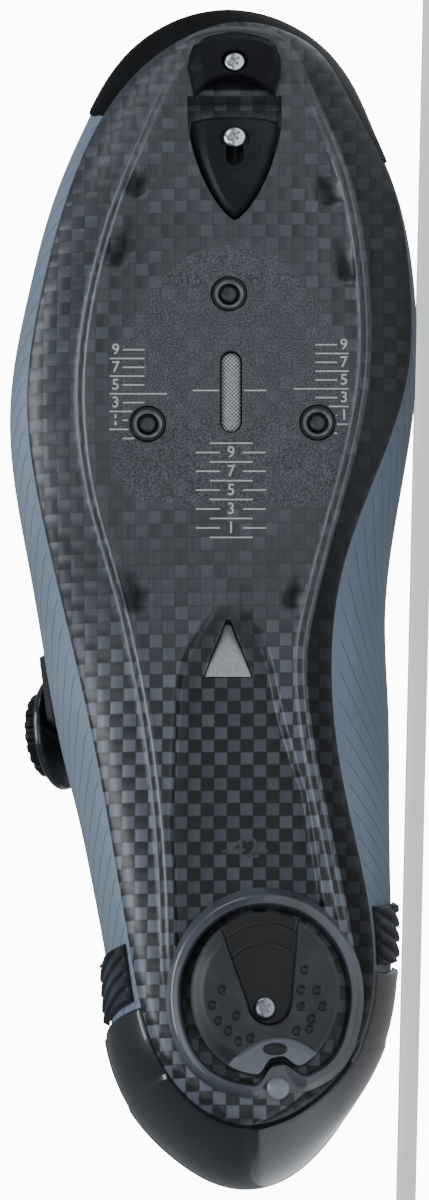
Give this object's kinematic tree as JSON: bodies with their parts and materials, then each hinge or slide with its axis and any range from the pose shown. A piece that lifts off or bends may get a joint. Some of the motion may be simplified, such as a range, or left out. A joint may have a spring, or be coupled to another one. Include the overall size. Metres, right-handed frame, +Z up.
{
  "type": "cycling shoe",
  "caption": "Right road cycling shoe with a stiff carbon sole, cleat nuts, vents, heel pad, hollow upper, tongue, straps and a lace dial, lying on its inner side.",
  "frame": {"origin": "middle of the bounding box's bottom face, on the floor that the shoe lies on", "axes": "+X from heel to toe, +Z up through the outer side, the sole faces -Y and the foot's opening faces +Y"},
  "size_m": [0.286, 0.1068, 0.0967],
  "materials": {
    "carbon": "clear-coated carbon weave",
    "microfibre": "matte blue-grey",
    "lining": "black knit",
    "gloss": "black gloss",
    "rubber": "matte black",
    "strap": "matte black",
    "grey": "satin grey",
    "steel": "bright",
    "vent_mesh": "white woven mesh"
  },
  "bodies": {
    "shoe": {"sole": "carbon", "upper": "microfibre", "insole": "lining", "tongue": "lining", "heel_cup": "gloss", "heel_clip_outer": "rubber", "heel_clip_inner": "rubber", "instep_strap": "strap", "toe_strap": "strap", "dial_base": "gloss", "dial_knob": "rubber", "cleat_nut_front": "steel", "cleat_nut_outer": "steel", "cleat_nut_inner": "steel", "ball_vent_mesh": "vent_mesh", "arch_vent_mesh": "vent_mesh", "toe_pad": "rubber", "toe_screw": "steel", "slider_screw": "steel", "heel_pad": "rubber", "heel_screw": "steel", "heel_rivet": "grey"},
    "vent_shutter": {"vent_slider": "gloss"}
  },
  "joints": [
    {"name": "vent_slide", "type": "slide", "parent": "shoe", "child": "vent_shutter", "axis": [0.9628, 0.2677, 0.0369], "range_m": [0, 0.005]}
  ]
}
